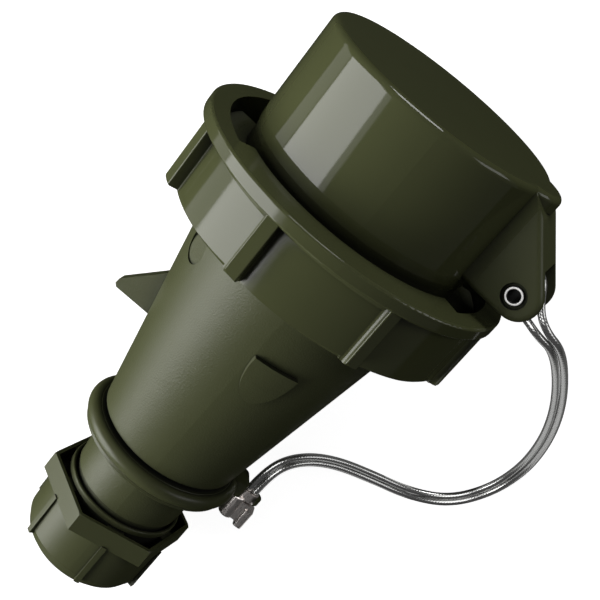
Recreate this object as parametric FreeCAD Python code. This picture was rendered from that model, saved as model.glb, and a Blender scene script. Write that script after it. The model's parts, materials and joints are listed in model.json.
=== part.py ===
"""Five-pole round plug with a bayonet locking ring and a tethered cap.

The plug is drawn along its own axis, which is X: the cap's end is at +X and the
cable gland at -X, and x = 0 is the front rim of the locking ring. Places round
the axis are clock angles in degrees, from 0 at the top towards -Y. The finished
pieces are then leaned back so that the plug lies on its ring and its gland nut,
as it does on a bench, with the bench at z = 0. All sizes are in millimetres.
"""
import FreeCAD
import Part
import math
import os

V = FreeCAD.Vector
AXIS = V(1, 0, 0)

# locking ring
ring_rim_r = 48.0            # rim and tops of the grip ribs
ring_rim_depth = 4.0         # thickness of the front rim
ring_length = 22.2
ring_valley_r = 44.0         # grip face just after a rib
ring_crest_r = 45.9          # grip face just before the next rib
ring_tail_r = 43.6           # rear edge
ring_mouth_r = 36.6          # front opening, round the cap
ring_chamber_r = 42.2        # bayonet chamber and the notches into it
ring_rear_bore_r = 40.4
ring_rib_count = 8
ring_rib_r = 47.8
ring_rib_height = 5.0        # from a rib's top to its foot inside the grip faces
ring_rib_half = 2.4          # half the width of a rib, in degrees
ring_rib_clock = -22.8       # clock angle of the first rib
ring_rib_tail = 21.8         # where the ribs end, from the rim
ring_rib_round = 0.4
ring_rib_tail_round = 1.1    # at a rib's rear end
ring_rib_drop = 0.6          # how far a rib's top falls from one side to the other
ring_rib_fillet = 1.4        # hollow between a rib and the grip face that rises to it
ring_rib_back = 0.3          # hollow on a rib's other side
ring_rim_fillet = 1.35       # hollow between the rim and the grip faces
ring_web = (15.6, 13.2)      # inner web that holds the ring on the plug
ring_web_r = 34.7
notch_clock = -93.0          # middle of the first bayonet notch
notch_half = 36.5

# front shroud and its flange
shroud_front = 28.5
shroud_r = 31.0
shroud_bore_r = 28.5
shroud_floor = -9.0
flange_front = -9.8
flange_rear = -12.8
flange_r = 38.6
gasket_r = 35.0              # flat gasket on the flange
spigot_r = 30.2
spigot_rear = -26.0
keyway_width = 6.4
keyway_depth = 1.3
keyway_clock = 81.0

# handle
handle_flange = (-19.0, -16.0)
handle_flange_r = 38.2
handle_nose_r = 34.3         # bearing for the ring's web
handle_front_r = 33.4        # cone, at the ring's rear edge
handle_tail = -90.3
handle_tail_r = 22.1
handle_wall = 2.9
neck_r = 18.1
neck_rear_r = 17.25
neck_line = -108.8           # shallow line round the neck
neck_shoulder = -112.2
thread_r = 16.6
neck_end = -127.0
neck_bore_r = 12.6
seal_seat_r = 14.4
seal_seat = -111.0

# snap ramps behind the ring, the catch nose and a round recess
ramp_clocks = (13.0, 193.0)
ramp_front = -40.0
ramp_length = 13.6
ramp_half_width = 6.6
ramp_height = 1.6
ramp_tail_height = 0.55
nose_clock = -99.0
nose_rear = -65.0
nose_length = 15.0
nose_tip_r = 39.0
nose_half = 1.9
recess_at = (-32.0, -60.5)   # place along the plug, and clock angle
recess_r = 4.8
recess_depth = 0.9

# pins
pin_circle_r = 17.6
pin_r = 2.5
earth_r = 3.5
pin_tip = 19.5
earth_tip = 23.5
terminal_r = 4.3
terminal_rear = -35.0
screw_r = 1.9
carrier_r = 27.5
carrier_rear = -24.0
retainer_rear = -27.5

# protective cap
cap_end = 35.0
cap_r = 35.1
cap_round = 2.0              # round edge of the cap's end
cap_bore_r = 31.7
cap_wall = 3.4
cap_skirt_r = 34.2
cap_waist = 5.2
cap_tail = -8.3
bayonet_r = 41.7
bayonet_half = 17.0
bayonet_front = -4.6

# lug on the cap for the tether
lug_clock = 73.0
lug_half = 10.5
cheek = 3.0
web_thick = 2.4
web_lift = 6.0               # from the toe's round to the web's lower end
lug_round = 1.6
lug_ridge = (29.8, 39.3)     # where the tongue meets the sloping web: x, distance from the axis
lug_top = (33.9, 33.6)
lug_front = 5.2
toe_r = 6.4
tongue_thick = 4.4
tongue_reach = 39.2
tongue_round = 1.8
rivet_x = 11.1
rivet_w = 46.3
rivet_r = 2.0
rivet_bore_r = 1.65
rivet_head_r = 2.5
rivet_recess_r = 3.5
rivet_recess = 1.0

# tether
strand_r = 1.05
strand_side = 1.12           # half the distance between the two strands
ferrule_at = (31.0, -7.0)    # distance to the side and height of its middle
ferrule_face = -94.8         # where the strands enter its collar
collar_length = 2.6
collar_r = 1.6
tether_ring_x = (-97.0, -91.3)
tether_ring_bore_r = 18.2
tether_bead_r = 2.35
tether_bead_at = (-93.7, 23.25)
tether_flange_r = 24.4
ear_reach = 28.6
ear_half = 4.2
hook_thick = 2.0

# cable gland
nut_face = -115.9
nut_collar_rear = -122.4
nut_corner_r = 23.6
nut_wall = 1.15
nut_sleeve_front = -113.8
nut_sleeve_r = 18.45         # lip at the sleeve's front
nut_sleeve_lip = 1.7
nut_core_r = 17.8            # sleeve behind the lip, and the floor between the pockets
nut_web = 1.2                # between the pockets' floor and the collar's rear
nut_land_half = 2.7
nut_land_drop = 0.25
nut_skirt_r = 20.3
nut_skirt_tail_r = 19.8
nut_end = -141.2
nut_bore_r = 16.68
nut_mouth_r = 17.6
nut_clock = -19.5            # clock angle of one corner
nut_grip_clock = 10.5
nut_grip_tail = -137.3
nut_grip_half = 2.3          # half the width of a grip rib, in degrees
nut_grip_height = 0.6
nut_throat = 4.0             # length of the tight bore at the nut's end
cable_hole_r = 11.5
cable_r = 7.4                # the seal's bore
clamp_length = 4.0           # of the clamping ring, behind the neck
clamp_slot = 1.2
thrust_thick = 2.0
end_gap = 0.2


def at(x, radius, clock):
    a = math.radians(clock)
    return V(x, -radius * math.sin(a), radius * math.cos(a))


def turned(points):
    """Solid of revolution about the axis from a closed outline of (x, radius)."""
    outline = [V(x, 0, r) for x, r in points]
    face = Part.Face(Part.makePolygon(outline + [outline[0]]))
    return face.revolve(V(0, 0, 0), AXIS, 360)


def rod(x0, x1, radius):
    return Part.makeCylinder(radius, x1 - x0, V(x0, 0, 0), AXIS)


def tube(x0, x1, outer, inner):
    return rod(x0, x1, outer).cut(rod(x0 - 1, x1 + 1, inner))


def rod_at(x0, x1, radius, ring_r, clock):
    return Part.makeCylinder(radius, x1 - x0, at(x0, ring_r, clock), AXIS)


def sector(x0, x1, r0, r1, c0, c1):
    """Block between two radii and two clock angles."""
    mid = (c0 + c1) / 2
    outer = Part.Arc(at(x0, r1, c0), at(x0, r1, mid), at(x0, r1, c1)).toShape()
    inner = Part.Arc(at(x0, r0, c1), at(x0, r0, mid), at(x0, r0, c0)).toShape()
    side1 = Part.makeLine(at(x0, r1, c1), at(x0, r0, c1))
    side0 = Part.makeLine(at(x0, r0, c0), at(x0, r1, c0))
    face = Part.Face(Part.Wire([outer, side1, inner, side0]))
    return face.extrude(V(x1 - x0, 0, 0))


def round_circles(shape, size, places):
    """Round the circular edges that lie at the given (x, radius) places."""
    chosen = []
    for edge in shape.Edges:
        curve = edge.Curve
        if not isinstance(curve, Part.Circle):
            continue
        for x, radius in places:
            close = abs(curve.Center.x - x) < 0.02 and abs(curve.Radius - radius) < 0.02
            if close and abs(curve.Axis.x) > 0.99:
                chosen.append(edge)
                break
    return shape.makeFillet(size, chosen)


def swing(shape, clock):
    """Turn a shape drawn at clock 0 to another clock angle."""
    moved = shape.copy()
    moved.rotate(V(0, 0, 0), AXIS, clock)
    return moved


def plate(points, half, clock):
    """Plate in the plane through the axis, from an outline of (x, radius)."""
    outline = [V(x, -half, r) for x, r in points]
    face = Part.Face(Part.makePolygon(outline + [outline[0]]))
    return swing(face.extrude(V(0, 2 * half, 0)), clock)


def grip_outline(x, lift):
    """Saw-tooth outline of the grip faces, each rising from one rib to the next."""
    pitch = 360.0 / ring_rib_count
    low = ring_valley_r + lift
    high = ring_crest_r + lift
    edges = []
    for k in range(ring_rib_count):
        c0 = ring_rib_clock + k * pitch + ring_rib_half
        c1 = ring_rib_clock + (k + 1) * pitch - ring_rib_half
        c2 = c1 + 2 * ring_rib_half
        middle = at(x, (low + high) / 2 + 0.05, (c0 + c1) / 2)
        edges.append(Part.Arc(at(x, low, c0), middle, at(x, high, c1)).toShape())
        edges.append(Part.makeLine(at(x, high, c1), at(x, low, c2)))
    return Part.Wire(edges)


def grip_rib(x0, x1):
    """Rib drawn at clock 0: a rounded, falling top and a hollow on each side."""
    degree = math.degrees(1 / ring_rib_r)
    left, right = -ring_rib_half, ring_rib_half
    soft = ring_rib_round
    foot = ring_rib_r - ring_rib_height
    low_top = ring_rib_r - ring_rib_drop
    front = ring_rib_fillet
    back = ring_rib_back
    hollow_top = min(ring_crest_r + front, ring_rib_r - soft - 0.05)
    places = [
        (ring_rib_r - soft, left), (ring_rib_r - 0.29 * soft, left + 0.29 * soft * degree),
        (ring_rib_r, left + soft * degree), (low_top, right - soft * degree),
        (low_top - 0.29 * soft, right - 0.29 * soft * degree), (low_top - soft, right),
        (ring_valley_r + back, right), (ring_valley_r + 0.29 * back, right + 0.29 * back * degree),
        (ring_valley_r - 0.05, right + back * degree), (foot, right + back * degree),
        (foot, left - front * degree), (ring_crest_r - 0.1, left - front * degree),
        (ring_crest_r + 0.25 * front, left - 0.25 * front * degree), (hollow_top, left)]
    p = [at(x0, radius, clock) for radius, clock in places]
    edges = [
        Part.Arc(p[0], p[1], p[2]).toShape(), Part.makeLine(p[2], p[3]),
        Part.Arc(p[3], p[4], p[5]).toShape(), Part.makeLine(p[5], p[6]),
        Part.Arc(p[6], p[7], p[8]).toShape(), Part.makeLine(p[8], p[9]),
        Part.makeLine(p[9], p[10]), Part.makeLine(p[10], p[11]),
        Part.Arc(p[11], p[12], p[13]).toShape(), Part.makeLine(p[13], p[0])]
    return Part.Face(Part.Wire(edges)).extrude(V(x1 - x0, 0, 0))


def locking_ring():
    shell = turned([
        (0, ring_mouth_r), (0, ring_rim_r),
        (-ring_rim_depth, ring_rim_r), (-ring_rim_depth, ring_valley_r),
        (-ring_length, ring_tail_r - 0.4), (-ring_length, ring_rear_bore_r),
        (-ring_web[0], ring_rear_bore_r), (-ring_web[0], ring_web_r), (-ring_web[1], ring_web_r),
        (-ring_web[1], ring_chamber_r), (-ring_rim_depth, ring_chamber_r),
        (-ring_rim_depth, ring_mouth_r)])
    shell = round_circles(shell, 0.7, [(0, ring_rim_r), (-ring_rim_depth, ring_rim_r)])
    shell = round_circles(shell, 0.6, [(0, ring_mouth_r)])

    teeth = Part.Face(grip_outline(-0.5, 0)).extrude(V(-ring_length + 0.5, 0, 0))
    hollow = ring_rim_fillet
    rims = [
        grip_outline(-ring_rim_depth + 0.1, hollow),
        grip_outline(-ring_rim_depth - 0.3 * hollow, 0.3 * hollow),
        grip_outline(-ring_rim_depth - hollow, 0)]
    band = Part.makeLoft(rims, True, True)
    envelope = turned([
        (-0.5, ring_chamber_r - 0.01), (-0.5, ring_rib_r), (-ring_length + 2.4, ring_rib_r),
        (-ring_length + 1.5, ring_crest_r), (-ring_length + 0.5, ring_tail_r + 1.4),
        (-ring_length, ring_tail_r), (-ring_length, ring_chamber_r - 0.01)])
    shell = shell.fuse(teeth.common(envelope)).fuse(band)

    rib = grip_rib(-ring_rib_tail, -1.0)
    soft = ring_rib_tail_round
    tail = -ring_rib_tail
    tail_round = turned([
        (0, 1), (0, ring_rib_r + 1), (tail + soft, ring_rib_r + 1), (tail + soft, ring_rib_r),
        (tail + 0.29 * soft, ring_rib_r - 0.29 * soft), (tail, ring_rib_r - soft), (tail - 1, 1)])
    rib = rib.common(tail_round)
    pitch = 360.0 / ring_rib_count
    shell = shell.multiFuse([swing(rib, ring_rib_clock + k * pitch) for k in range(ring_rib_count)])
    shell = shell.cut(rod(-ring_web[1], -ring_rim_depth, ring_chamber_r))
    shell = shell.cut(rod(-ring_rim_depth - 1, 1, ring_mouth_r))
    for clock in (notch_clock, notch_clock + 180):
        shell = shell.cut(sector(-ring_rim_depth - 0.2, 1.0, ring_mouth_r - 3, ring_chamber_r,
                                 clock - notch_half, clock + notch_half))
    return shell.removeSplitter()


def front_shroud():
    body = turned([
        (shroud_front, shroud_bore_r), (shroud_front, shroud_r), (flange_front, shroud_r),
        (flange_front, flange_r), (flange_rear, flange_r), (flange_rear, spigot_r),
        (spigot_rear, spigot_r), (spigot_rear, carrier_r), (shroud_floor, carrier_r),
        (shroud_floor, shroud_bore_r)])
    body = round_circles(body, 0.8, [(shroud_front, shroud_r), (shroud_front, shroud_bore_r)])
    body = round_circles(body, 0.5, [(flange_front, flange_r)])
    half = math.degrees(math.asin(keyway_width / 2 / shroud_bore_r))
    groove = sector(shroud_floor, shroud_front + 1, shroud_bore_r - 2, shroud_bore_r + keyway_depth,
                    keyway_clock - half, keyway_clock + half)
    body = body.cut(groove)
    seat = tube(spigot_rear + 4.0, spigot_rear + 7.0, spigot_r + 1, spigot_r - 1.3)
    return body.cut(seat)


def body_o_ring():
    x = spigot_rear + 5.5
    seal = Part.makeTorus(spigot_r - 0.25, 1.0, V(x, 0, 0), AXIS)
    return seal.common(tube(x - 2, x + 2, spigot_r + 0.02, spigot_r - 1.28))


def handle_radius(x):
    slope = (handle_front_r - handle_tail_r) / (-ring_length - handle_tail)
    return handle_tail_r + slope * (x - handle_tail)


def handle_body():
    wall = handle_wall
    along = (neck_line - handle_tail) / (neck_shoulder - handle_tail)
    neck_line_r = neck_r + (neck_rear_r - neck_r) * along
    front = handle_flange[0]
    shell = turned([
        (flange_rear, spigot_r + 0.05), (flange_rear, handle_nose_r), (handle_flange[1], handle_nose_r),
        (handle_flange[1], handle_flange_r), (handle_flange[0], handle_flange_r),
        (handle_flange[0], handle_radius(front)), (handle_tail, handle_tail_r),
        (handle_tail, neck_r + 0.9), (handle_tail - 1.0, neck_r), (neck_line, neck_line_r + 0.15),
        (neck_line, neck_line_r), (neck_shoulder, neck_rear_r),
        (neck_shoulder, thread_r), (neck_end, thread_r), (neck_end, seal_seat_r),
        (seal_seat, seal_seat_r), (seal_seat + 1.2, neck_bore_r), (handle_tail - 1.0, neck_bore_r),
        (handle_tail + 7.0, handle_radius(handle_tail + 7.0) - wall),
        (-32.0, handle_radius(-32.0) - wall), (-29.0, spigot_r + 0.05)])
    shell = round_circles(shell, 0.9, [(handle_tail, handle_tail_r)])

    # snap ramps: a step towards the ring, running out to the rear
    ramps = []
    crest = handle_radius(ramp_front) + ramp_height
    low = handle_radius(ramp_front - ramp_length) + ramp_tail_height
    ramp_rear = ramp_front - ramp_length
    ramp_middle = ramp_front - ramp_length * 0.55
    lift = turned([
        (ramp_front, 20), (ramp_front, crest),
        (ramp_middle, handle_radius(ramp_middle) + 0.78 * ramp_height),
        (ramp_rear, low), (ramp_rear, 20)])
    for clock in ramp_clocks:
        back = Part.Ellipse(V(ramp_rear, 0, 20), V(ramp_front, ramp_half_width, 20), V(ramp_front, 0, 20))
        rim = Part.ArcOfEllipse(back, -math.pi / 2, math.pi / 2).toShape()
        first, last = rim.Vertexes[0].Point, rim.Vertexes[1].Point
        face = Part.Face(Part.Wire([rim, Part.makeLine(last, first)]))
        ramps.append(swing(face.extrude(V(0, 0, 16)), clock).common(lift))
    shell = shell.multiFuse(ramps)

    nose_front = nose_rear + nose_length
    nose = plate([
        (nose_rear, handle_radius(nose_rear) - 1.2), (nose_rear, nose_tip_r - 0.9),
        (nose_rear + 0.9, nose_tip_r), (nose_rear + 2.6, nose_tip_r - 0.2),
        (nose_front, handle_radius(nose_front) - 1.2)], nose_half, nose_clock)
    shell = shell.fuse(nose)

    # round recess, with a sloping floor
    recess_x, recess_clock = recess_at
    floor_r = handle_radius(recess_x) - recess_depth
    recess = Part.makeCylinder(recess_r, 10, V(0, 0, 0), V(0, 0, 1))
    tip = math.degrees(math.atan2(recess_depth, 2 * recess_r))
    recess.rotate(V(0, recess_r, 0), V(1, 0, 0), tip)
    recess.translate(V(recess_x, 0, floor_r))
    shell = shell.cut(swing(recess, recess_clock))
    return shell.removeSplitter()


def pin_clocks():
    return [keyway_clock + 72.0 * k for k in range(5)]


def contact_pin(radius, tip, clock):
    """Pin with a rounded tip, a collar held in the carrier and a wire barrel behind it."""
    body = rod_at(carrier_rear, tip, radius, pin_circle_r, clock)
    ends = [e for e in body.Edges if abs(e.CenterOfMass.x - tip) < 0.01]
    body = body.makeFillet(radius * 0.55, ends)
    collar = rod_at(-21.0, -18.0, radius + 0.8, pin_circle_r, clock)
    barrel = rod_at(terminal_rear, carrier_rear, terminal_r, pin_circle_r, clock)
    body = body.multiFuse([collar, barrel])
    wire_hole = rod_at(terminal_rear - 1, carrier_rear - 3.0, 2.0, pin_circle_r, clock)
    screw_at = at((terminal_rear + carrier_rear) / 2 - 1.5, pin_circle_r, clock)
    screw_hole = Part.makeCylinder(screw_r, 8, screw_at, at(0, 1, clock))
    return body.cut(wire_hole).cut(screw_hole)


def terminal_screws():
    screws = []
    for clock in pin_clocks():
        x = (terminal_rear + carrier_rear) / 2 - 1.5
        start = at(x, pin_circle_r + 0.6, clock)
        out = at(0, 1, clock)
        screw = Part.makeCylinder(screw_r, 5.4, start, out)
        slot = Part.makeBox(0.8, 5, 1.2, V(x - 0.4, -2.5, pin_circle_r + 4.8))
        screws.append(screw.cut(swing(slot, clock)))
    return Part.makeCompound(screws)


def pin_carrier():
    body = rod(carrier_rear, shroud_floor, carrier_r - 0.05)
    cuts = []
    for k, clock in enumerate(pin_clocks()):
        r = earth_r if k == 0 else pin_r
        cuts.append(rod_at(carrier_rear - 1, shroud_floor + 1, r, pin_circle_r, clock))
        cuts.append(rod_at(carrier_rear - 1, -18.0, r + 0.8, pin_circle_r, clock))
    body = body.cut(cuts[0].multiFuse(cuts[1:]))
    ring = [(shroud_floor, carrier_r - 0.05)]
    return round_circles(body, 0.4, ring)


def pin_retainer():
    body = rod(retainer_rear, carrier_rear, carrier_r - 0.3)
    cuts = []
    for clock in pin_clocks():
        cuts.append(rod_at(retainer_rear - 1, carrier_rear + 1, terminal_r, pin_circle_r, clock))
    return body.cut(cuts[0].multiFuse(cuts[1:]))


def flange_gasket():
    return tube(flange_front, cap_tail - 0.02, gasket_r, shroud_r)


def lug_plate(points, half):
    """Plate across the lug at clock 0, from an outline of (x, distance from the axis)."""
    outline = [V(x, -half, w) for x, w in points]
    face = Part.Face(Part.makePolygon(outline + [outline[0]]))
    return face.extrude(V(0, 2 * half, 0))


def cap_lug():
    """Hollow lug on the side of the cap, drawn at clock 0: two cheeks, a sloping web and a tongue."""
    toe = V(rivet_x + 0.3, -lug_half, rivet_w + 0.8)
    ridge = V(lug_ridge[0], -lug_half, lug_ridge[1])
    top = V(lug_top[0], -lug_half, lug_top[1])
    to_ridge = math.atan2(ridge.z - toe.z, ridge.x - toe.x)
    tangent_turn = to_ridge + math.acos(toe_r / (ridge - toe).Length)
    tangent = toe + V(math.cos(tangent_turn), 0, math.sin(tangent_turn)) * toe_r
    half_turn = (tangent_turn + math.pi) / 2
    bottom = toe + V(math.cos(half_turn), 0, math.sin(half_turn)) * toe_r
    heel = toe - V(toe_r, 0, 0)
    root = V(lug_top[0] - 0.9, -lug_half, cap_bore_r - 1.7)
    foot = V(lug_front, -lug_half, cap_bore_r - 1.7)
    arc = Part.Arc(heel, bottom, tangent).toShape()
    edges = [Part.makeLine(root, top), Part.makeLine(top, ridge), Part.makeLine(ridge, tangent), arc,
             Part.makeLine(heel, foot), Part.makeLine(foot, root)]
    face = Part.Face(Part.Wire(Part.__sortEdges__(edges)))
    body = face.extrude(V(0, 2 * lug_half, 0))
    rim = []
    for edge in body.Edges:
        centre = edge.CenterOfMass
        outer = centre.z > lug_ridge[1] - 2 and centre.x > lug_front + 0.1
        if abs(abs(centre.y) - lug_half) < 0.01 and outer and edge.Length > 3:
            rim.append(edge)
    body = body.makeFillet(lug_round, rim)
    web = V(ridge.x - tangent.x, 0, ridge.z - tangent.z)
    web.normalize()
    inward = V(web.z, 0, -web.x) * web_thick
    if inward.x > 0:
        inward = -inward
    upper = ridge + inward - web * 1.5
    lower = tangent + inward + web * web_lift
    hollow = lug_plate([
        (lug_front - 1, cap_skirt_r), (upper.x - 2.0, cap_skirt_r), (upper.x, upper.z),
        (lower.x, lower.z), (lower.x - 3 * inward.x, lower.z - 3 * inward.z),
        (lug_front - 1, toe.z + 20)], lug_half - cheek)
    tongue_at = V(cap_end - tongue_thick, 0, tongue_reach - lug_half)
    tongue = Part.makeCylinder(lug_half, tongue_thick, tongue_at, AXIS)
    lip = [e for e in tongue.Edges if abs(e.CenterOfMass.x - cap_end) < 0.01]
    tongue = tongue.makeFillet(tongue_round, lip)
    body = body.cut(hollow).fuse(tongue)
    hole = Part.makeCylinder(rivet_r + 0.05, 40, V(rivet_x, -20, rivet_w), V(0, 1, 0))
    near_at = V(rivet_x, -lug_half - 1, rivet_w)
    far_at = V(rivet_x, lug_half - rivet_recess, rivet_w)
    near = Part.makeCylinder(rivet_recess_r, rivet_recess + 1, near_at, V(0, 1, 0))
    far = Part.makeCylinder(rivet_recess_r, rivet_recess + 1, far_at, V(0, 1, 0))
    return body.cut(hole).cut(near).cut(far)


def protective_cap():
    outer = turned([
        (cap_end, 0), (cap_end, cap_r), (cap_waist, cap_r - 0.15), (cap_waist - 3.0, cap_r - 0.35),
        (cap_waist - 5.5, cap_skirt_r), (cap_tail, cap_skirt_r - 0.2), (cap_tail, 0)])
    outer = round_circles(outer, cap_round, [(cap_end, cap_r)])
    lug = swing(cap_lug(), lug_clock)
    feet = []
    for clock in (notch_clock, notch_clock + 180):
        feet.append(sector(cap_tail, bayonet_front, cap_skirt_r - 1.5, bayonet_r,
                           clock - bayonet_half, clock + bayonet_half))
    body = outer.multiFuse([lug] + feet)
    inside = turned([
        (cap_tail - 1, 0), (cap_tail - 1, cap_bore_r), (cap_end - cap_wall - 1.2, cap_bore_r),
        (cap_end - cap_wall, cap_bore_r - 1.2), (cap_end - cap_wall, 0)])
    return body.cut(inside).removeSplitter()


def lug_rivet():
    """Hollow rivet across the lug, with its two ends curled over in their recesses."""
    reach = lug_half - rivet_recess
    shank = Part.makeCylinder(rivet_r, 2 * reach, V(rivet_x, -reach, rivet_w), V(0, 1, 0))
    bore = Part.makeCylinder(rivet_bore_r, 2 * reach + 4, V(rivet_x, -reach - 2, rivet_w), V(0, 1, 0))
    lip_r = (rivet_head_r - rivet_bore_r) / 2
    lips = []
    for way in (-1, 1):
        foot = V(rivet_x, way * reach, rivet_w)
        middle = V(rivet_x, way * (reach + lip_r), rivet_w)
        lips.append(Part.makeTorus(rivet_bore_r + lip_r, lip_r, middle, V(0, 1, 0)))
        lips.append(Part.makeCylinder(rivet_bore_r + lip_r, lip_r, foot, V(0, way, 0)))
    body = shank.cut(bore)
    for lip in lips:
        body = body.fuse(lip.cut(bore))
    return swing(body, lug_clock)


# middle line of the pair of strands: x, distance to the side (-Y), height
pair_route = [
    (ferrule_face, 31.0, -7.0), (-88.6, 31.0, -7.0), (-82.2, 33.2, -9.6), (-78.2, 39.2, -14.2),
    (-76.8, 48.5, -20.4), (-77.0, 61.0, -26.9), (-76.2, 75.0, -31.2), (-70.8, 87.0, -32.8),
    (-59.4, 94.2, -32.8), (-45.5, 95.4, -28.8), (-31.5, 91.0, -20.0), (-18.6, 83.8, -10.0),
    (-6.6, 74.0, 2.0), (4.2, 62.4, 14.2)]
# loop round the rivet: places from the rivet, along the plug and away from its axis
loop_route = [(-6.2, 10.8), (-4.9, 5.8), (-3.9, -2.1), (4.6, -5.7), (7.4, 1.3), (-0.9, 6.9), (-3.9, 12.0)]


def tether_points():
    """Route of the one strand: out beside the middle line, round the rivet and back."""
    out_side = []
    back_side = []
    for k, (x, w, z) in enumerate(pair_route):
        before = pair_route[max(k - 1, 0)]
        after = pair_route[min(k + 1, len(pair_route) - 1)]
        dx = after[0] - before[0]
        dw = after[1] - before[1]
        if k == 0:
            dx, dw = 1.0, 0.0
        size = math.hypot(dx, dw)
        nx, nw = dw / size * strand_side, -dx / size * strand_side
        out_side.append(V(x + nx, -(w + nw), z))
        back_side.append(V(x - nx, -(w - nw), z))
    a = math.radians(lug_clock)
    loop = []
    for along, away in loop_route:
        x = rivet_x + along
        w = rivet_w + away
        loop.append(V(x, -w * math.sin(a), w * math.cos(a)))
    return out_side + loop + list(reversed(back_side))


def tether_wire():
    """Round strand along straight runs joined by tangent arcs."""
    route = tether_points()
    edges = []
    radii = []
    start = route[0]
    for k in range(1, len(route) - 1):
        q = route[k]
        a = route[k - 1] - q
        b = route[k + 1] - q
        run = min(a.Length, b.Length)
        a.normalize()
        b.normalize()
        half = (math.pi - a.getAngle(b)) / 2
        radius = 0.45 * run / math.tan(half)
        trim = radius * math.tan(half)
        inward = a + b
        inward.normalize()
        middle = q + inward * (radius / math.cos(half) - radius)
        one = q + a * trim
        two = q + b * trim
        edges.append(Part.LineSegment(start, one).toShape())
        edges.append(Part.Arc(one, middle, two).toShape())
        radii.append((round(radius, 1), round(math.degrees(2 * half))))
        start = two
    edges.append(Part.LineSegment(start, route[-1]).toShape())
    path = Part.Wire(edges)
    circle = Part.Wire(Part.makeCircle(strand_r, route[0], route[1] - route[0]))
    strand = path.makePipeShell([circle], True, False)
    print("tether length", round(path.Length, 1), "volume", round(strand.Volume, 1),
          "expected", round(path.Length * math.pi * strand_r ** 2, 1))
    print("tether radii and turns", radii)
    return strand


def ferrule_place():
    w, z = ferrule_at
    return math.hypot(w, z), math.degrees(math.atan2(w, z))


def oval(x0, x1, radius, spread, w, z):
    """Oval bar along the axis: two rounds, spread apart to the side, and what lies between."""
    ends = [Part.makeCylinder(radius, x1 - x0, V(x0, -(w + side * spread), z), AXIS) for side in (-1, 1)]
    middle = Part.makeBox(x1 - x0, 2 * spread, 2 * radius, V(x0, -(w + spread), z - radius))
    return ends[0].multiFuse([ends[1], middle]).removeSplitter()


def tether_ferrule():
    """Crimp over the two ends: a collar where the strands enter, a long lobe and a short one."""
    w, z = ferrule_at
    back = ferrule_face - collar_length
    collar = oval(back - 0.5, ferrule_face, collar_r, strand_side, w, z)
    long_lobe = Part.makeCylinder(2.6, 8.8, V(back - 8.8, -(w - 2.0), z), AXIS)
    long_lobe = long_lobe.makeFillet(0.8, [e for e in long_lobe.Edges if e.Length > 14])
    web = Part.makeBox(7.0, 4.6, 3.8, V(back - 8.0, -(w + 2.4), z - 1.9))
    short_lobe = Part.makeBox(6.6, 2.9, 5.0, V(back - 9.2, -(w + 4.6), z - 2.5))
    long_edges = [e for e in short_lobe.Edges if abs(e.Length - 6.6) < 0.01]
    short_lobe = short_lobe.makeFillet(0.9, long_edges)
    return long_lobe.multiFuse([web, short_lobe, collar]).removeSplitter()


def tether_ring():
    """Ring round the neck: a round bead, a flat flange behind it and an ear that hooks the crimp."""
    x0, x1 = tether_ring_x
    bx, br = tether_bead_at
    body = turned([
        (x1, tether_ring_bore_r), (x1, br - 0.6), (bx + 1.2, br + 0.5), (bx - 0.6, br + 0.5),
        (x0 + 0.3, tether_flange_r), (x0, tether_flange_r - 0.3), (x0, tether_ring_bore_r)])
    bead = Part.makeTorus(br, tether_bead_r, V(bx, 0, 0), AXIS)
    r, clock = ferrule_place()
    ear = Part.makeBox(5.0, 2 * ear_half, ear_reach - 20.5, V(x0 + 0.6, -ear_half, 20.5))
    sides = []
    for edge in ear.Edges:
        centre = edge.CenterOfMass
        if abs(centre.z - ear_reach) < 0.01 and abs(abs(centre.y) - ear_half) < 0.01:
            sides.append(edge)
    ear = swing(ear.makeFillet(1.6, sides), clock)
    w, z = ferrule_at
    back = ferrule_face - collar_length
    hook = oval(back + 0.1, back + 0.1 + hook_thick, collar_r + 1.3, strand_side, w, z)
    seat = oval(back - 1, ferrule_face + 1, collar_r + 0.02, strand_side, w, z)
    mouth = Part.makeBox(6, 2 * strand_side + 2.6, 9, V(back - 1, -(w + strand_side + 1.3), z))
    return body.multiFuse([bead, ear, hook]).cut(seat).cut(mouth).removeSplitter()


def hexagon(corner_r, x0, x1):
    points = [at(x0, corner_r, nut_clock + 60 * k) for k in range(6)]
    face = Part.Face(Part.makePolygon(points + [points[0]]))
    return face.extrude(V(x1 - x0, 0, 0))


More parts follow.
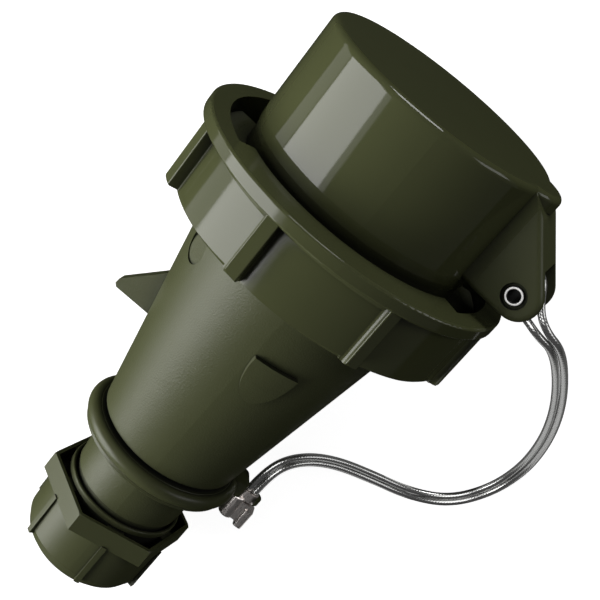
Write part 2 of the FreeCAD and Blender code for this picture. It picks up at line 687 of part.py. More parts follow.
def gland_nut():
    skirt = turned([
        (nut_face - 0.5, 0), (nut_face - 0.5, nut_skirt_r), (nut_grip_tail + 1.5, nut_skirt_tail_r),
        (nut_end + 2.6, nut_skirt_tail_r - 1.3), (nut_end + 0.8, nut_skirt_tail_r - 3.2),
        (nut_end, nut_skirt_tail_r - 5.4), (nut_end, 0)])
    collar = hexagon(nut_corner_r, nut_collar_rear, nut_face)
    trim = turned([
        (nut_face, 0), (nut_face, nut_corner_r - 0.5), (nut_face - 0.6, nut_corner_r + 0.2),
        (nut_collar_rear, nut_corner_r + 0.2), (nut_collar_rear, 0)])
    collar = collar.common(trim)
    inner_apothem = nut_corner_r * math.cos(math.radians(30)) - nut_wall
    inner_corner = inner_apothem / math.cos(math.radians(30))
    pocket = hexagon(inner_corner, nut_collar_rear + nut_web, nut_face + 1)
    lands = []
    for k in range(6):
        length = nut_face - nut_land_drop - nut_collar_rear
        land = Part.makeBox(length, 2 * nut_land_half, nut_corner_r, V(nut_collar_rear, -nut_land_half, 0))
        lands.append(swing(land, nut_clock + 30 + 60 * k))
    keep = rod(nut_collar_rear, nut_face + 2, nut_core_r).multiFuse(lands)
    collar = collar.cut(pocket.cut(keep))
    core = rod(nut_collar_rear, nut_sleeve_front - 0.5, nut_core_r)
    lip = rod(nut_sleeve_front - nut_sleeve_lip, nut_sleeve_front, nut_sleeve_r)
    lip = round_circles(lip, 0.4, [(nut_sleeve_front, nut_sleeve_r)])
    skirt = skirt.common(rod(nut_end - 1, nut_collar_rear + nut_web, nut_corner_r + 10))
    grips = []
    for k in range(6):
        c = nut_grip_clock + 60 * k
        grips.append(sector(nut_grip_tail, nut_collar_rear + 0.5, nut_skirt_tail_r - 1.0,
                            nut_skirt_r + nut_grip_height, c - nut_grip_half, c + nut_grip_half))
    body = collar.multiFuse([skirt, core, lip] + grips)
    seat = neck_end - clamp_length - thrust_thick - end_gap / 2
    inside = turned([
        (nut_sleeve_front + 1, 0), (nut_sleeve_front + 1, nut_mouth_r), (nut_sleeve_front - 1, nut_mouth_r),
        (nut_sleeve_front - 1.4, nut_bore_r), (seat, nut_bore_r),
        (nut_end + nut_throat, cable_hole_r), (nut_end - 1, cable_hole_r), (nut_end - 1, 0)])
    return body.cut(inside).removeSplitter()


def cable_seal():
    rear = neck_end + end_gap
    front = seal_seat - 2 * end_gap
    outer = seal_seat_r - end_gap / 2
    return turned([
        (rear, cable_r), (rear, outer), (front, outer), (front, cable_r + 1.0), (front - 2.0, cable_r)])


def cable_clamp():
    """Slotted clamping ring between the seal and the thrust ring."""
    front = neck_end + end_gap
    step = neck_end - end_gap
    clamp_end = neck_end - clamp_length
    bore = cable_r + 0.8
    body = turned([
        (front, bore), (front, seal_seat_r - end_gap / 2), (step, seal_seat_r - end_gap / 2),
        (step, seal_seat_r + 1.2), (clamp_end, seal_seat_r + 0.6), (clamp_end, bore)])
    slots = []
    for k in range(8):
        slot = Part.makeBox(3.0, clamp_slot, 20, V(clamp_end - 0.5, -clamp_slot / 2, 0))
        slots.append(swing(slot, 22.5 + 45 * k))
    return body.cut(slots[0].multiFuse(slots[1:]))


def thrust_ring():
    front = neck_end - clamp_length
    return tube(front - thrust_thick, front, nut_bore_r - 0.88, cable_r + 2.2)


def leaned(shape, degrees):
    """Turn a piece from the plug's own axis, with the gland end down."""
    turned_shape = shape.copy()
    turned_shape.rotate(V(0, 0, 0), V(0, 1, 0), -degrees)
    return turned_shape


def lowest(shape, degrees):
    return leaned(shape, degrees).optimalBoundingBox(False).ZMin


def resting_lean(front, rear):
    """Lean at which two pieces reach equally low, so that both touch the bench."""
    low, high = 2.0, 30.0
    for step in range(18):
        middle = (low + high) / 2
        if lowest(front, middle) < lowest(rear, middle):
            low = middle
        else:
            high = middle
    return (low + high) / 2


nodes = {
    "handle_body": handle_body(),
    "front_shroud": front_shroud(),
    "body_o_ring": body_o_ring(),
    "pin_carrier": pin_carrier(),
    "pin_retainer": pin_retainer(),
    "terminal_screws": terminal_screws(),
    "flange_gasket": flange_gasket(),
    "locking_ring": locking_ring(),
    "protective_cap": protective_cap(),
    "lug_rivet": lug_rivet(),
    "tether_ring": tether_ring(),
    "tether_ferrule": tether_ferrule(),
    "tether_wire": tether_wire(),
    "gland_nut": gland_nut(),
    "cable_seal": cable_seal(),
    "cable_clamp": cable_clamp(),
    "thrust_ring": thrust_ring(),
}
pin_names = ("pin_earth", "pin_neutral", "pin_line_1", "pin_line_2", "pin_line_3")
for name, clock in zip(pin_names, pin_clocks()):
    if name == "pin_earth":
        nodes[name] = contact_pin(earth_r, earth_tip, clock)
    else:
        nodes[name] = contact_pin(pin_r, pin_tip, clock)

# the bench is at z = 0, and the origin is under the middle of the plug without its tether
lean = resting_lean(nodes["locking_ring"], nodes["gland_nut"])
cord_nodes = ("tether_wire",)
leaning = {}
solid_box = FreeCAD.BoundBox()
for name, shape in nodes.items():
    leaning[name] = leaned(shape, lean)
    if name not in cord_nodes:
        solid_box.add(leaning[name].optimalBoundingBox(False))
shift = V(-(solid_box.XMin + solid_box.XMax) / 2, -(solid_box.YMin + solid_box.YMax) / 2, -solid_box.ZMin)

os.makedirs("parts", exist_ok=True)
for name, shape in leaning.items():
    shape.translate(shift)
    print(name, "solids", len(shape.Solids), "valid", shape.isValid(), "cm3", round(shape.Volume / 1000, 3),
          "low", round(shape.optimalBoundingBox(False).ZMin, 2))
    shape.exportStep("parts/" + name + ".step")

print("lean", lean, "shift", tuple(shift))
print("tether route", [(round(p.x, 2), round(p.y, 2), round(p.z, 2)) for p in tether_points()])
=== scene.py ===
"""Five-pole round plug: finishes, tether wire, lamps and the photograph's view.

The plug leans on the floor. Places on it are given in its own frame, where X is
its axis, x = 0 is the front rim of the locking ring, and side is towards -Y.
"""
import bpy
import json
import math
from mathutils import Matrix, Vector


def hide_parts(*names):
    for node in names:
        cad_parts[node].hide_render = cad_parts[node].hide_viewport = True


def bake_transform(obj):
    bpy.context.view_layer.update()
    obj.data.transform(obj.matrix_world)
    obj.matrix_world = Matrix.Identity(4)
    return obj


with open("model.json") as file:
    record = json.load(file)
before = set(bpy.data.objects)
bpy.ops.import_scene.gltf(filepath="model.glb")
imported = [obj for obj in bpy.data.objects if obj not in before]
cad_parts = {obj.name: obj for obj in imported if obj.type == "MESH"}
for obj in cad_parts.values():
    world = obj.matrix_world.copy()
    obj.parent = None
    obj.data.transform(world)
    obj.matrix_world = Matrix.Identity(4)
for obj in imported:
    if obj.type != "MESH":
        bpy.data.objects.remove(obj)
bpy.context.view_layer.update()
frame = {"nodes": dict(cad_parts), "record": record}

nodes = frame["nodes"]
MM = 0.001

# the plug's own frame, from the axis of the ring's joint
RING_PIVOT_X = -14.4
ring_joint = next(j for j in frame["record"]["behaviour"]["joints"] if j["name"] == "ring_turn")
axis = Vector(ring_joint["axis"]).normalized()
lean = math.atan2(axis.z, axis.x)
origin = Vector(ring_joint["pos_m"]) - axis * RING_PIVOT_X * MM
across = Vector((0, 1, 0))
upright = Vector((-math.sin(lean), 0, math.cos(lean)))


def direction(x, y, z):
    """A direction of the plug's own frame, in the row frame."""
    return axis * x + across * y + upright * z


def place(x, y, z):
    """A point of the plug's own frame, in millimetres, in the row frame."""
    return origin + direction(x, y, z) * MM


def at(x, radius, clock):
    """A point by its distance from the plug's axis and its clock angle, from the top towards the side."""
    a = math.radians(clock)
    return place(x, -radius * math.sin(a), radius * math.cos(a))


# sizes of the tether, the crimp's ear, the rivet and the lug in millimetres, as in the part
STRAND_R = 1.05
STRAND_SIDE = 1.12
FERRULE_FACE = -94.8
EAR_W = 31.0
EAR_Z = -7.0
RIVET_X = 11.1
RIVET_W = 46.3
LIP_IN_R = 1.85
LIP_OUT_R = 2.3
LUG_CLOCK = 73.0
LUG_ROOT_W = 37.0

# the sheath's outside stands this far out of the CAD strand, in millimetres
SHEATH_OVER = 0.05
TETHER_STEPS = 16
TETHER_SIDES = 14

# colours
OLIVE = (0.089, 0.098, 0.042)
BLACK_PLASTIC = (0.018, 0.018, 0.017)
RUBBER = (0.012, 0.012, 0.012)
STEEL = (0.72, 0.67, 0.64)
NICKEL = (0.62, 0.60, 0.56)
ROPE = (0.62, 0.62, 0.61)
RIVET_WHITE = (0.95, 0.94, 0.92)

# share of open sky at which the painted shade in a crevice is darkest and at which it ends, how dark that
# painted shade gets, and how dull the crevice gets
SHADE_MASK_SHUT = 0.38
SHADE_MASK_OPEN = 0.82
PAINTED_SHADE_TONE = 0.10
CREVICE_DULL = 0.5

# moulded skin: scale of its slow waves and of its mottling, and how far mottling shifts colour and gloss
WAVE_SCALE = 60
MOTTLE_SCALE = 35
MOTTLE_SHIFT = 0.06

# relief of slow waves and dents, and of grain, streaks and strands, in metres
DEEP_RELIEF = 0.001
FINE_RELIEF = 0.0001

# metal: streaks drawn along the plug, the range of gloss they give, and the scale of the dents
STREAK_SCALE = (300, 2500, 2500)
STREAK_GLOSS = (0.7, 1.4)
DENT_SCALE = 150

# rope: strands, and turns of their lay in a metre
ROPE_STRANDS = 7
ROPE_TURNS = 150.0

# rivet: painted shade in its bore and painted shadow on the metal beyond its lip, and the share of its
# colour kept in glossy rays, a painted dimming of its reflection in the cap
BORE_PAINTED_SHADE = 0.01
LIP_PAINTED_SHADOW = 0.03
RIVET_PAINTED_REFLECTION_SHARE = 0.15

# the lug is less glossy than the cap by this much, over this width in millimetres
LUG_DULL = 0.33
LUG_FADE = 2


def put(tree, socket, term):
    """Set an input to a number or colour, or link it to an output."""
    if isinstance(term, bpy.types.NodeSocket):
        tree.links.new(term, socket)
    else:
        socket.default_value = term


def maths(tree, operation, *terms):
    node = tree.nodes.new("ShaderNodeMath")
    node.operation = operation
    for socket, term in zip(node.inputs, terms):
        put(tree, socket, term)
    return node.outputs["Value"]


def vector_maths(tree, operation, *terms):
    node = tree.nodes.new("ShaderNodeVectorMath")
    node.operation = operation
    for socket, term in zip(node.inputs, terms):
        put(tree, socket, term)
    return node.outputs["Value" if operation == "LENGTH" else "Vector"]


def scaled(tree, color, scale):
    node = tree.nodes.new("ShaderNodeVectorMath")
    node.operation = "SCALE"
    put(tree, node.inputs[0], color)
    put(tree, node.inputs["Scale"], scale)
    return node.outputs["Vector"]


def ramp(tree, value, start, end, low, high):
    """Straight change from low at start to high at end, and level beyond them."""
    node = tree.nodes.new("ShaderNodeMapRange")
    node.inputs["From Min"].default_value = start
    node.inputs["From Max"].default_value = end
    node.inputs["To Min"].default_value = low
    node.inputs["To Max"].default_value = high
    tree.links.new(value, node.inputs["Value"])
    return node.outputs["Result"]


def noise(tree, where, scale, detail):
    node = tree.nodes.new("ShaderNodeTexNoise")
    node.inputs["Detail"].default_value = detail
    put(tree, node.inputs["Scale"], scale)
    tree.links.new(where, node.inputs["Vector"])
    return node.outputs["Fac"]


def bump(tree, height, strength, distance, under=None):
    node = tree.nodes.new("ShaderNodeBump")
    node.inputs["Distance"].default_value = distance
    put(tree, node.inputs["Strength"], strength)
    tree.links.new(height, node.inputs["Height"])
    if under:
        tree.links.new(under, node.inputs["Normal"])
    return node.outputs["Normal"]


def object_place(tree):
    return tree.nodes.new("ShaderNodeTexCoord").outputs["Object"]


def distance_from_line(tree, middle, along):
    """Distance in metres from the line through middle that runs along a direction."""
    offset = vector_maths(tree, "SUBTRACT", object_place(tree), middle)
    return vector_maths(tree, "LENGTH", vector_maths(tree, "CROSS_PRODUCT", offset, along))


def moulded_skin_group():
    """Moulded plastic: fine grain, slow waves, small shifts of colour and gloss, painted shade that darkens
    its crevices, and duller crevices.
    """
    group = bpy.data.node_groups.new("moulded_skin", "ShaderNodeTree")
    for label, kind, value in (
            ("Color", "NodeSocketColor", (0.5, 0.5, 0.5, 1)), ("Roughness", "NodeSocketFloat", 0.3),
            ("Grain Scale", "NodeSocketFloat", 2500.0), ("Grain Depth", "NodeSocketFloat", 0.1),
            ("Wave Depth", "NodeSocketFloat", 0.05), ("Painted Shade Reach", "NodeSocketFloat", 0.006)):
        socket = group.interface.new_socket(label, in_out="INPUT", socket_type=kind)
        socket.default_value = value
    for label, kind in (("Color", "NodeSocketColor"), ("Roughness", "NodeSocketFloat"),
                        ("Normal", "NodeSocketVector")):
        group.interface.new_socket(label, in_out="OUTPUT", socket_type=kind)
    given = group.nodes.new("NodeGroupInput").outputs
    out = group.nodes.new("NodeGroupOutput").inputs
    where = object_place(group)

    wave = bump(group, noise(group, where, WAVE_SCALE, detail=1), given["Wave Depth"], DEEP_RELIEF)
    grain = noise(group, where, given["Grain Scale"], detail=3)
    group.links.new(bump(group, grain, given["Grain Depth"], FINE_RELIEF, under=wave), out["Normal"])

    # painted shade: ambient occlusion darkens the colour where neighbouring walls stand close, in place of
    # the shade that falls there
    shade_occlusion = group.nodes.new("ShaderNodeAmbientOcclusion")
    shade_occlusion.samples = 16
    group.links.new(given["Painted Shade Reach"], shade_occlusion.inputs["Distance"])
    painted_shade_mask = ramp(group, shade_occlusion.outputs["AO"], SHADE_MASK_SHUT, SHADE_MASK_OPEN, PAINTED_SHADE_TONE, 1.0)
    mottle = noise(group, where, MOTTLE_SCALE, detail=4)
    shift = ramp(group, mottle, 0.0, 1.0, 1 - MOTTLE_SHIFT, 1 + MOTTLE_SHIFT)
    tone = maths(group, "MULTIPLY", shift, painted_shade_mask)
    group.links.new(scaled(group, given["Color"], tone), out["Color"])
    dulled = maths(group, "MULTIPLY_ADD", painted_shade_mask, -CREVICE_DULL, CREVICE_DULL)
    rough = maths(group, "MULTIPLY", given["Roughness"], shift)
    group.links.new(maths(group, "ADD", rough, dulled), out["Roughness"])
    return group


moulded_skin = moulded_skin_group()


def new_material(name):
    material = bpy.data.materials.new(name)
    material.use_nodes = True
    tree = material.node_tree
    return material, tree, tree.nodes["Principled BSDF"].inputs


def moulded(name, color, roughness, grain_scale=2500.0, grain_depth=0.1, wave_depth=0.03, reach=0.006):
    """Moulded plastic or rubber. Reach is how far, in metres, a neighbouring wall paints shade on it and
    dulls it.
    """
    material, tree, shader = new_material(name)
    skin = tree.nodes.new("ShaderNodeGroup")
    skin.node_tree = moulded_skin
    skin.inputs["Color"].default_value = (*color, 1)
    skin.inputs["Roughness"].default_value = roughness
    skin.inputs["Grain Scale"].default_value = grain_scale
    skin.inputs["Grain Depth"].default_value = grain_depth
    skin.inputs["Wave Depth"].default_value = wave_depth
    skin.inputs["Painted Shade Reach"].default_value = reach
    tree.links.new(skin.outputs["Color"], shader["Base Color"])
    tree.links.new(skin.outputs["Roughness"], shader["Roughness"])
    tree.links.new(skin.outputs["Normal"], shader["Normal"])
    return material


def plated(name, color, roughness, streak, metallic=1.0, dents=0.0):
    """Plated metal, with faint drawn streaks along the plug and shallow dents."""
    material, tree, shader = new_material(name)
    where = object_place(tree)
    stretch = tree.nodes.new("ShaderNodeMapping")
    stretch.inputs["Scale"].default_value = STREAK_SCALE
    tree.links.new(where, stretch.inputs["Vector"])
    streaks = noise(tree, stretch.outputs["Vector"], 1.0, detail=3)
    pressed = bump(tree, noise(tree, where, DENT_SCALE, detail=1), dents, DEEP_RELIEF)
    smoothest, roughest = (roughness * share for share in STREAK_GLOSS)
    tree.links.new(ramp(tree, streaks, 0.0, 1.0, smoothest, roughest), shader["Roughness"])
    tree.links.new(bump(tree, streaks, streak, FINE_RELIEF, under=pressed), shader["Normal"])
    shader["Base Color"].default_value = (*color, 1)
    shader["Metallic"].default_value = metallic
    return material


def cap_material():
    """Glossy cap whose lug is satin."""
    material = moulded("gloss_olive", OLIVE, roughness=0.07, grain_scale=900, grain_depth=0.02,
                       wave_depth=0.012, reach=0.011)
    tree = material.node_tree
    shader = tree.nodes["Principled BSDF"].inputs
    skin_rough = shader["Roughness"].links[0].from_socket
    away = distance_from_line(tree, origin, axis)
    satin = ramp(tree, away, LUG_ROOT_W * MM, (LUG_ROOT_W + LUG_FADE) * MM, 0.0, LUG_DULL)
    tree.links.new(maths(tree, "ADD", skin_rough, satin), shader["Roughness"])
    return material


def rivet_material():
    """Bright rivet with painted shade in its bore and a painted shadow beyond its lip, painted darker to
    glossy rays so that the glossy cap mirrors it only faintly.
    """
    material = plated("bright_rivet", RIVET_WHITE, roughness=0.4, streak=0.05, metallic=0.1)
    tree = material.node_tree
    a = math.radians(LUG_CLOCK)
    along = direction(0, math.cos(a), math.sin(a)).normalized()
    away = distance_from_line(tree, at(RIVET_X, RIVET_W, LUG_CLOCK), along)
    # painted shade: the bore is dark and the metal beyond the lip darker, in place of the shade of the hole
    # and of the lug's counterbore
    painted_bore_shade = ramp(tree, away, LIP_IN_R * MM, (LIP_IN_R + 0.1) * MM, BORE_PAINTED_SHADE, 1.0)
    painted_lip_shadow = ramp(tree, away, LIP_OUT_R * MM, (LIP_OUT_R + 0.15) * MM, 1.0, LIP_PAINTED_SHADOW)
    # painted reflection: the rivet is darker to glossy rays, so its reflection in the cap is dim
    path = tree.nodes.new("ShaderNodeLightPath")
    painted_reflection_dimming = ramp(tree, path.outputs["Is Glossy Ray"], 0.0, 1.0, 1.0, RIVET_PAINTED_REFLECTION_SHARE)
    tone = maths(tree, "MULTIPLY", maths(tree, "MULTIPLY", painted_bore_shade, painted_lip_shadow), painted_reflection_dimming)
    tree.links.new(scaled(tree, RIVET_WHITE, tone), tree.nodes["Principled BSDF"].inputs["Base Color"])
    return material


def rope_material():
    """Stranded steel wire under a clear, glossy sheath."""
    material, tree, shader = new_material("sheathed_rope")
    uv = tree.nodes.new("ShaderNodeUVMap")
    uv.uv_map = "Along"
    split = tree.nodes.new("ShaderNodeSeparateXYZ")
    tree.links.new(uv.outputs["UV"], split.inputs["Vector"])
    lay = maths(tree, "MULTIPLY_ADD", split.outputs["X"], ROPE_TURNS, split.outputs["Y"])
    strand = maths(tree, "SINE", maths(tree, "MULTIPLY", lay, ROPE_STRANDS * 2 * math.pi))
    shade = ramp(tree, strand, -1.0, 1.0, 0.85, 1.05)
    tree.links.new(scaled(tree, ROPE, shade), shader["Base Color"])
    tree.links.new(bump(tree, strand, 0.1, FINE_RELIEF), shader["Normal"])
    shader["Metallic"].default_value = 0.95
    shader["Roughness"].default_value = 0.22
    shader["Coat Weight"].default_value = 1.0
    shader["Coat Roughness"].default_value = 0.06
    return material


gloss_olive = cap_material()
ring_olive = moulded("ring_olive", OLIVE, roughness=0.11, grain_scale=1400, grain_depth=0.03,
                     wave_depth=0.015, reach=0.009)
satin_olive = moulded("satin_olive", OLIVE, roughness=0.40, grain_scale=2200, grain_depth=0.9, reach=0.014)
gland_olive = moulded("gland_olive", OLIVE, roughness=0.34, grain_scale=2000, grain_depth=0.2)
black_plastic = moulded("black_plastic", BLACK_PLASTIC, roughness=0.45, grain_depth=0.3)
rubber = moulded("rubber", RUBBER, roughness=0.7, grain_scale=4000, grain_depth=0.4)
plated_steel = plated("plated_steel", STEEL, roughness=0.3, streak=0.25)
crimp_steel = plated("crimp_steel", STEEL, roughness=0.28, streak=0.2, dents=0.22)
plated_brass = plated("plated_brass", NICKEL, roughness=0.18, streak=0.15)

FINISHES = {
    "handle_body": satin_olive,
    "front_shroud": ring_olive,
    "locking_ring": ring_olive,
    "protective_cap": gloss_olive,
    "tether_ring": gland_olive,
    "gland_nut": gland_olive,
    "pin_carrier": black_plastic,
    "pin_retainer": black_plastic,
    "cable_clamp": black_plastic,
    "thrust_ring": black_plastic,
    "body_o_ring": rubber,
    "flange_gasket": rubber,
    "cable_seal": rubber,
    "terminal_screws": plated_steel,
    "lug_rivet": rivet_material(),
    "tether_ferrule": crimp_steel,
    "pin_earth": plated_brass,
    "pin_neutral": plated_brass,
    "pin_line_1": plated_brass,
    "pin_line_2": plated_brass,
    "pin_line_3": plated_brass,
}
for name, material in FINISHES.items():
    for slot in nodes[name].material_slots:
        slot.material = material

# tether: the pair's middle line as x, w towards the side, and z, and the loop round the rivet
PAIR_ROUTE = [
    (FERRULE_FACE, EAR_W, EAR_Z), (-88.6, EAR_W, EAR_Z), (-82.2, 33.2, -9.6), (-78.2, 39.2, -14.2),
    (-76.8, 48.5, -20.4), (-77.0, 61.0, -26.9), (-76.2, 75.0, -31.2), (-70.8, 87.0, -32.8),
    (-59.4, 94.2, -32.8), (-45.5, 95.4, -28.8), (-31.5, 91.0, -20.0), (-18.6, 83.8, -10.0),
    (-6.6, 74.0, 2.0), (4.2, 62.4, 14.2)]
LOOP_ROUTE = [
    (-6.2, 10.8), (-4.9, 5.8), (-3.9, -2.1), (4.6, -5.7), (7.4, 1.3), (-0.9, 6.9), (-3.9, 12.0)]


def tether_points():
    """Control points of the one strand: out beside the pair's middle line, round the rivet and back."""
    out_side = []
    back_side = []
    for k, (x, w, z) in enumerate(PAIR_ROUTE):
        before = PAIR_ROUTE[max(k - 1, 0)]
        after = PAIR_ROUTE[min(k + 1, len(PAIR_ROUTE) - 1)]
        dx = after[0] - before[0]
        dw = after[1] - before[1]
        size = math.hypot(dx, dw)
        nx, nw = dw / size * STRAND_SIDE, -dx / size * STRAND_SIDE
        out_side.append(place(x + nx, -(w + nw), z))
        back_side.append(place(x - nx, -(w - nw), z))
    loop = [at(RIVET_X + along, RIVET_W + away, LUG_CLOCK) for along, away in LOOP_ROUTE]
    return out_side + loop + list(reversed(back_side))


def route_line(points, resolution):
    """Points along the NURBS spline that has these control points."""
    curve = bpy.data.curves.new("tether_route", "CURVE")
    curve.dimensions = "3D"
    spline = curve.splines.new("NURBS")
    spline.points.add(len(points) - 1)
    for point, co in zip(spline.points, points):
        point.co = (*co, 1)
    spline.order_u = 3
    spline.use_endpoint_u = True
    spline.resolution_u = resolution
    guide = bpy.data.objects.new("tether_route", curve)
    bpy.context.scene.collection.objects.link(guide)
    bpy.context.view_layer.update()
    mesh = bpy.data.meshes.new_from_object(guide)
    points_along = [v.co.copy() for v in mesh.vertices]
    bpy.data.meshes.remove(mesh)
    bpy.data.objects.remove(guide)
    bpy.data.curves.remove(curve)
    return points_along


def sweep(name, points_along, radius, around):
    """Closed round tube along a line, with a UV map: u along in metres, v round the tube."""
    verts = []
    normal = None
    run = 0.0
    runs = []
    for k, p in enumerate(points_along):
        a = points_along[max(k - 1, 0)]
        b = points_along[min(k + 1, len(points_along) - 1)]
        way = (b - a).normalized()
        if normal is None:
            normal = way.orthogonal().normalized()
        normal = (normal - way * normal.dot(way)).normalized()
        binormal = way.cross(normal)
        for j in range(around):
            turn = 2 * math.pi * j / around
            verts.append(p + (normal * math.cos(turn) + binormal * math.sin(turn)) * radius)
        if k:
            run += (p - points_along[k - 1]).length
        runs.append(run)
    faces = []
    for k in range(len(points_along) - 1):
        for j in range(around):
            j2 = (j + 1) % around
            faces.append((k * around + j, k * around + j2, (k + 1) * around + j2, (k + 1) * around + j))
    last = (len(points_along) - 1) * around
    faces.append(tuple(reversed(range(around))))
    faces.append(tuple(last + j for j in range(around)))
    mesh = bpy.data.meshes.new(name)
    mesh.from_pydata([tuple(v) for v in verts], [], faces)
    uv = mesh.uv_layers.new(name="Along")
    for polygon in mesh.polygons:
        wall = len(polygon.vertices) == 4
        seam = wall and (around - 1) in [v % around for v in polygon.vertices]
        for loop_index, vertex in zip(polygon.loop_indices, polygon.vertices):
            k, j = divmod(vertex, around)
            share = 1.0 if seam and j == 0 else j / around
            uv.data[loop_index].uv = (runs[k], share)
        polygon.use_smooth = wall
    piece = bpy.data.objects.new(name, mesh)
    bpy.context.scene.collection.objects.link(piece)
    return piece, run


tether_line = route_line(tether_points(), TETHER_STEPS)
tether, tether_length = sweep("tether_strand", tether_line, (STRAND_R + SHEATH_OVER) * MM, TETHER_SIDES)
tether.data.materials.append(rope_material())
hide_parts("tether_wire")
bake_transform(tether)


# the photograph's view
CAMERA_AT = (87.62, 37.13, 302.36)
CAMERA_RIGHT = (0.59498, -0.79334, -0.12891)
CAMERA_UP = (0.71475, 0.59562, -0.36657)
CAMERA_LENS = 71.91


def photo_camera():
    data = bpy.data.cameras.new("photo_camera")
    data.sensor_width = 36
    data.lens = CAMERA_LENS
    data.clip_start = 0.01
    camera = bpy.data.objects.new("photo_camera", data)
    right = direction(*CAMERA_RIGHT).normalized()
    up = direction(*CAMERA_UP).normalized()
    back = right.cross(up).normalized()
    up = back.cross(right)
    turned = Matrix((right, up, back)).transposed().to_4x4()
    camera.matrix_world = Matrix.Translation(place(*CAMERA_AT)) @ turned
    bpy.context.scene.collection.objects.link(camera)
    bpy.context.scene.camera = camera


# lamps: azimuth is from +X towards +Y, angles are in degrees and lengths in metres
KEY_AZIMUTH = 118
CARD_REACH = 0.36
CARD_LIFT = 0.003
STRAIGHT_BELOW = -90

# how bright the room is to the object, and the floor in what mirrors it and to the camera
ROOM_TONE = (0.06, 0.06, 0.06, 1)
FLOOR_MIRRORED = (0.03, 0.032, 0.024, 1)
FLOOR_PALE = (0.8, 0.8, 0.8, 1)
FLOOR_GLOW = 0.91
FLOOR_HALF = 3.0


def area_lamp(name, width, height, radiance):
    """Flat lamp with this brightness of its own, whatever its size."""
    data = bpy.data.lights.new(name, "AREA")
    data.shape = "RECTANGLE"
    data.size = width
    data.size_y = height
    data.energy = radiance * math.pi * width * height
    lamp = bpy.data.objects.new(name, data)
    bpy.context.scene.collection.objects.link(lamp)
    return lamp


def softbox(name, azimuth, elevation, distance, width, height, radiance, target=(-10, 0, 10)):
    """Area lamp that faces a point of the plug."""
    lamp = area_lamp(name, width, height, radiance)
    a = math.radians(azimuth)
    e = math.radians(elevation)
    way = Vector((math.cos(e) * math.cos(a), math.cos(e) * math.sin(a), math.sin(e)))
    lamp.location = place(*target) + way * distance
    lamp.rotation_euler = way.to_track_quat("Z", "Y").to_euler()
    return lamp


def bounce_card():
    """Pale card on the floor below the key softbox, for the soft band beside its reflection."""
    lamp = area_lamp("bounce_card", width=0.6, height=0.40, radiance=0.9)
    a = math.radians(KEY_AZIMUTH)
    lamp.location = (CARD_REACH * math.cos(a), CARD_REACH * math.sin(a), CARD_LIFT)
    lamp.rotation_euler = (math.pi, 0, a + math.pi / 2)
    lamp.visible_camera = False


def only_lights(lamps, collection_name, pieces):
    receivers = bpy.data.collections.new(collection_name)
    for piece in pieces:
        receivers.objects.link(piece)
    for lamp in lamps:
        lamp.light_linking.receiver_collection = receivers


def shell_light():
    softbox("key_softbox", KEY_AZIMUTH, elevation=18, distance=0.62, width=0.60, height=0.50, radiance=3.5)
    softbox("key_surround", KEY_AZIMUTH, elevation=19, distance=0.64, width=0.66, height=0.62, radiance=1.0)
    softbox("front_fill", azimuth=8, elevation=16, distance=1.0, width=0.5, height=0.3, radiance=6.4)
    softbox("side_softbox", azimuth=-56, elevation=24, distance=0.9, width=0.3, height=0.5, radiance=1.5)
    bounce_card()


def metal_light():
    """Softboxes and pale cards that light only the bright metal, as a photographer's reflectors would."""
    above = softbox("metal_softbox", azimuth=60, elevation=72, distance=0.6,
                    width=0.5, height=0.5, radiance=2.4)
    below = softbox("pale_floor_for_metal", azimuth=0, elevation=STRAIGHT_BELOW, distance=0.052,
                    width=0.9, height=0.9, radiance=0.10)
    card = softbox("pale_card_for_metal", azimuth=0, elevation=STRAIGHT_BELOW, distance=0.024,
                   width=0.17, height=0.15, radiance=0.5, target=(-150, -140, 10))
    for lamp in (below, card):
        lamp.visible_camera = False
    only_lights((above, below, card), "bright_metal", (tether, nodes["tether_ferrule"], nodes["lug_rivet"]))
    crimp_lamps = [softbox(name, azimuth, elevation, distance=0.5, width=0.5, height=0.6, radiance=0.8)
                   for name, azimuth, elevation in (("crimp_softbox", 150, 80), ("crimp_side_box", -60, 45))]
    only_lights(crimp_lamps, "crimp_only", (nodes["tether_ferrule"],))


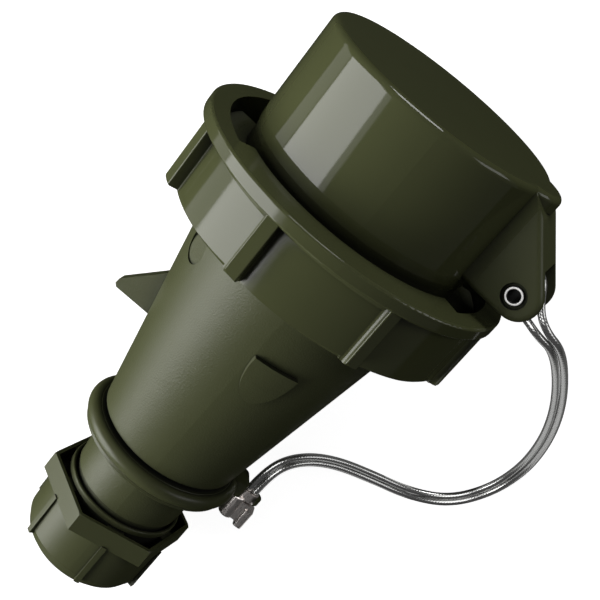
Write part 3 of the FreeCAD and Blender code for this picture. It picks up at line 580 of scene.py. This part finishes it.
def world_light():
    """Dim room, which the camera sees as white."""
    world = bpy.data.worlds.new("studio")
    world.use_nodes = True
    tree = world.node_tree
    path = tree.nodes.new("ShaderNodeLightPath")
    room = tree.nodes["Background"]
    room.inputs["Color"].default_value = ROOM_TONE
    white = tree.nodes.new("ShaderNodeBackground")
    white.inputs["Color"].default_value = (1, 1, 1, 1)
    mix = tree.nodes.new("ShaderNodeMixShader")
    tree.links.new(path.outputs["Is Camera Ray"], mix.inputs["Fac"])
    tree.links.new(room.outputs["Background"], mix.inputs[1])
    tree.links.new(white.outputs["Background"], mix.inputs[2])
    tree.links.new(mix.outputs["Shader"], tree.nodes["World Output"].inputs["Surface"])
    bpy.context.scene.world = world


def studio_floor():
    """Floor that is white to the camera, and dark in what the glossy shells mirror."""
    mesh = bpy.data.meshes.new("floor")
    corners = [(x * FLOOR_HALF, y * FLOOR_HALF, 0) for x, y in ((-1, -1), (1, -1), (1, 1), (-1, 1))]
    mesh.from_pydata(corners, [], [(0, 1, 2, 3)])
    floor = bpy.data.objects.new("floor", mesh)
    bpy.context.scene.collection.objects.link(floor)
    material = bpy.data.materials.new("pale_floor")
    material.use_nodes = True
    tree = material.node_tree
    tree.nodes.remove(tree.nodes["Principled BSDF"])
    path = tree.nodes.new("ShaderNodeLightPath")
    grey = tree.nodes.new("ShaderNodeBsdfDiffuse")
    grey.inputs["Color"].default_value = FLOOR_MIRRORED
    pale = tree.nodes.new("ShaderNodeBsdfDiffuse")
    pale.inputs["Color"].default_value = FLOOR_PALE
    glow = tree.nodes.new("ShaderNodeEmission")
    glow.inputs["Strength"].default_value = FLOOR_GLOW
    both = tree.nodes.new("ShaderNodeAddShader")
    mix = tree.nodes.new("ShaderNodeMixShader")
    tree.links.new(pale.outputs["BSDF"], both.inputs[0])
    tree.links.new(glow.outputs["Emission"], both.inputs[1])
    tree.links.new(path.outputs["Is Camera Ray"], mix.inputs["Fac"])
    tree.links.new(grey.outputs["BSDF"], mix.inputs[1])
    tree.links.new(both.outputs["Shader"], mix.inputs[2])
    tree.links.new(mix.outputs["Shader"], tree.nodes["Material Output"].inputs["Surface"])
    floor.data.materials.append(material)


photo_camera()
shell_light()
metal_light()
world_light()
studio_floor()
bpy.context.scene.view_settings.view_transform = "Standard"
